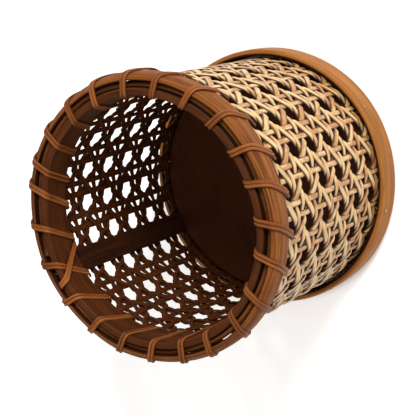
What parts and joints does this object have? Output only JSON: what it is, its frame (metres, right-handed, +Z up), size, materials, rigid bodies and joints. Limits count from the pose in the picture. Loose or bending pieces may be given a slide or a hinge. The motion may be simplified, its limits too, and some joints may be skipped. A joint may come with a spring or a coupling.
{
  "type": "wastebasket",
  "caption": "Round open-topped wastebasket of see-through octagonal cane weave between lashed rattan rim hoops and a wooden base hoop with a round floor board.",
  "frame": {"origin": "centre of the footprint, on the floor under the base hoop", "axes": "+Z up along the basket's axis, +Y toward the seam of the weave"},
  "size_m": [0.2826, 0.2821, 0.2747],
  "materials": {
    "hoop_rattan": "split rattan with long fibres, brown stain and a dull varnish",
    "lashing_cane": "flat brown cane, satin varnish",
    "weave_cane": "peeled cane, cream to tan and glossy outside, stained dark brown inside",
    "base_wood": "bent wood band, orange-brown stain, satin varnish",
    "board_wood": "dark brown stained board, faint straight grain",
    "stave_wood": "dark brown stained strap",
    "nail_steel": "small darkened steel nail heads"
  },
  "bodies": {
    "root": {"base_board": "board_wood", "base_hoop": "base_wood", "base_nail_1": "nail_steel", "base_nail_2": "nail_steel", "base_nail_3": "nail_steel", "base_nail_4": "nail_steel", "base_nail_5": "nail_steel", "base_nail_6": "nail_steel", "base_nail_7": "nail_steel", "base_nail_8": "nail_steel", "cane_diagonal_01": "weave_cane", "cane_diagonal_02": "weave_cane", "cane_diagonal_03": "weave_cane", "cane_diagonal_04": "weave_cane", "cane_diagonal_05": "weave_cane", "cane_diagonal_06": "weave_cane", "cane_diagonal_07": "weave_cane", "cane_diagonal_08": "weave_cane", "cane_diagonal_09": "weave_cane", "cane_diagonal_10": "weave_cane", "cane_diagonal_11": "weave_cane", "cane_diagonal_12": "weave_cane", "cane_stake_01": "weave_cane", "cane_stake_02": "weave_cane", "cane_stake_03": "weave_cane", "cane_stake_04": "weave_cane", "cane_stake_05": "weave_cane", "cane_stake_06": "weave_cane", "cane_stake_07": "weave_cane", "cane_stake_08": "weave_cane", "cane_stake_09": "weave_cane", "cane_stake_10": "weave_cane", "cane_stake_11": "weave_cane", "cane_stake_12": "weave_cane", "cane_stake_13": "weave_cane", "cane_stake_14": "weave_cane", "cane_stake_15": "weave_cane", "cane_stake_16": "weave_cane", "cane_stake_17": "weave_cane", "cane_stake_18": "weave_cane", "cane_stake_19": "weave_cane", "cane_stake_20": "weave_cane", "cane_stake_21": "weave_cane", "cane_stake_22": "weave_cane", "cane_stake_23": "weave_cane", "cane_stake_24": "weave_cane", "cane_weaver_01": "weave_cane", "cane_weaver_02": "weave_cane", "cane_weaver_03": "weave_cane", "cane_weaver_04": "weave_cane", "cane_weaver_05": "weave_cane", "cane_weaver_06": "weave_cane", "cane_weaver_07": "weave_cane", "rim_filler_reed": "hoop_rattan", "rim_inner_hoop": "hoop_rattan", "rim_lashing": "lashing_cane", "rim_outer_hoop": "hoop_rattan", "seam_stave": "stave_wood", "seam_tie": "lashing_cane"}
  },
  "joints": []
}
